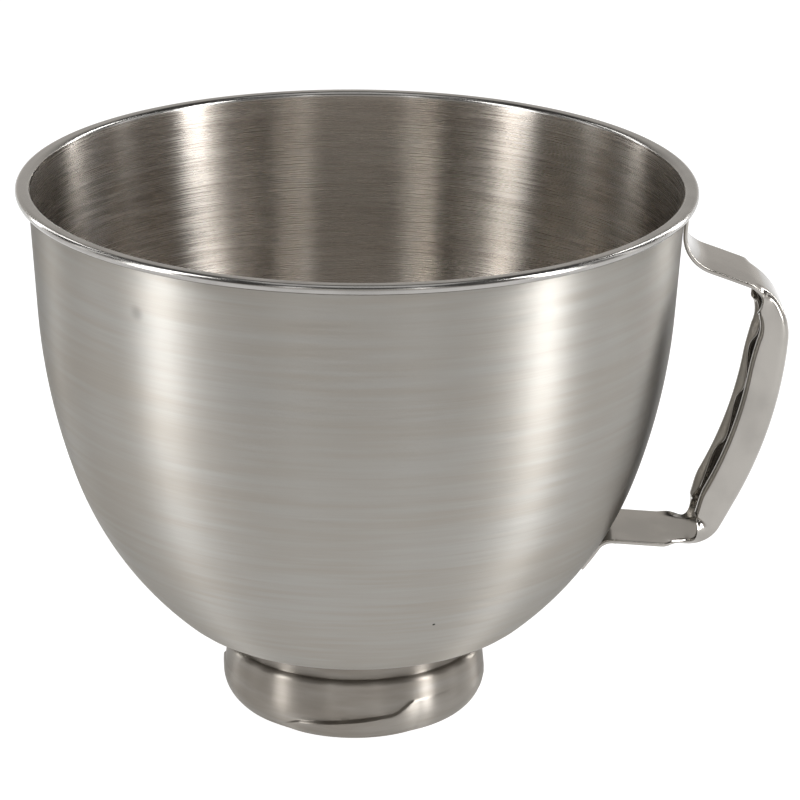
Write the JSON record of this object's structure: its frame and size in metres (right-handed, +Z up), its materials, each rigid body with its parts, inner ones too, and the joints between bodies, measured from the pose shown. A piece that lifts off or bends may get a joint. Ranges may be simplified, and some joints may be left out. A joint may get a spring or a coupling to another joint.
{
  "type": "stand mixer bowl",
  "caption": "Drawn and brushed steel mixing bowl with a rolled rim, a pressed bayonet foot and a polished strap handle folded into a scalloped channel grip.",
  "frame": {"origin": "centre of the foot's flat rest ring, on the plane the bowl stands on", "axes": "+Z up along the bowl's axis, +X towards the handle"},
  "size_m": [0.256, 0.225, 0.1813],
  "materials": {
    "brushed_shell": "brushed round the bowl inside, fine satin outside",
    "polished_foot": "polished",
    "polished_handle": "mirror polished"
  },
  "bodies": {
    "root": {"bowl": "brushed_shell", "foot_collar": "polished_foot", "handle": "polished_handle"}
  },
  "joints": []
}
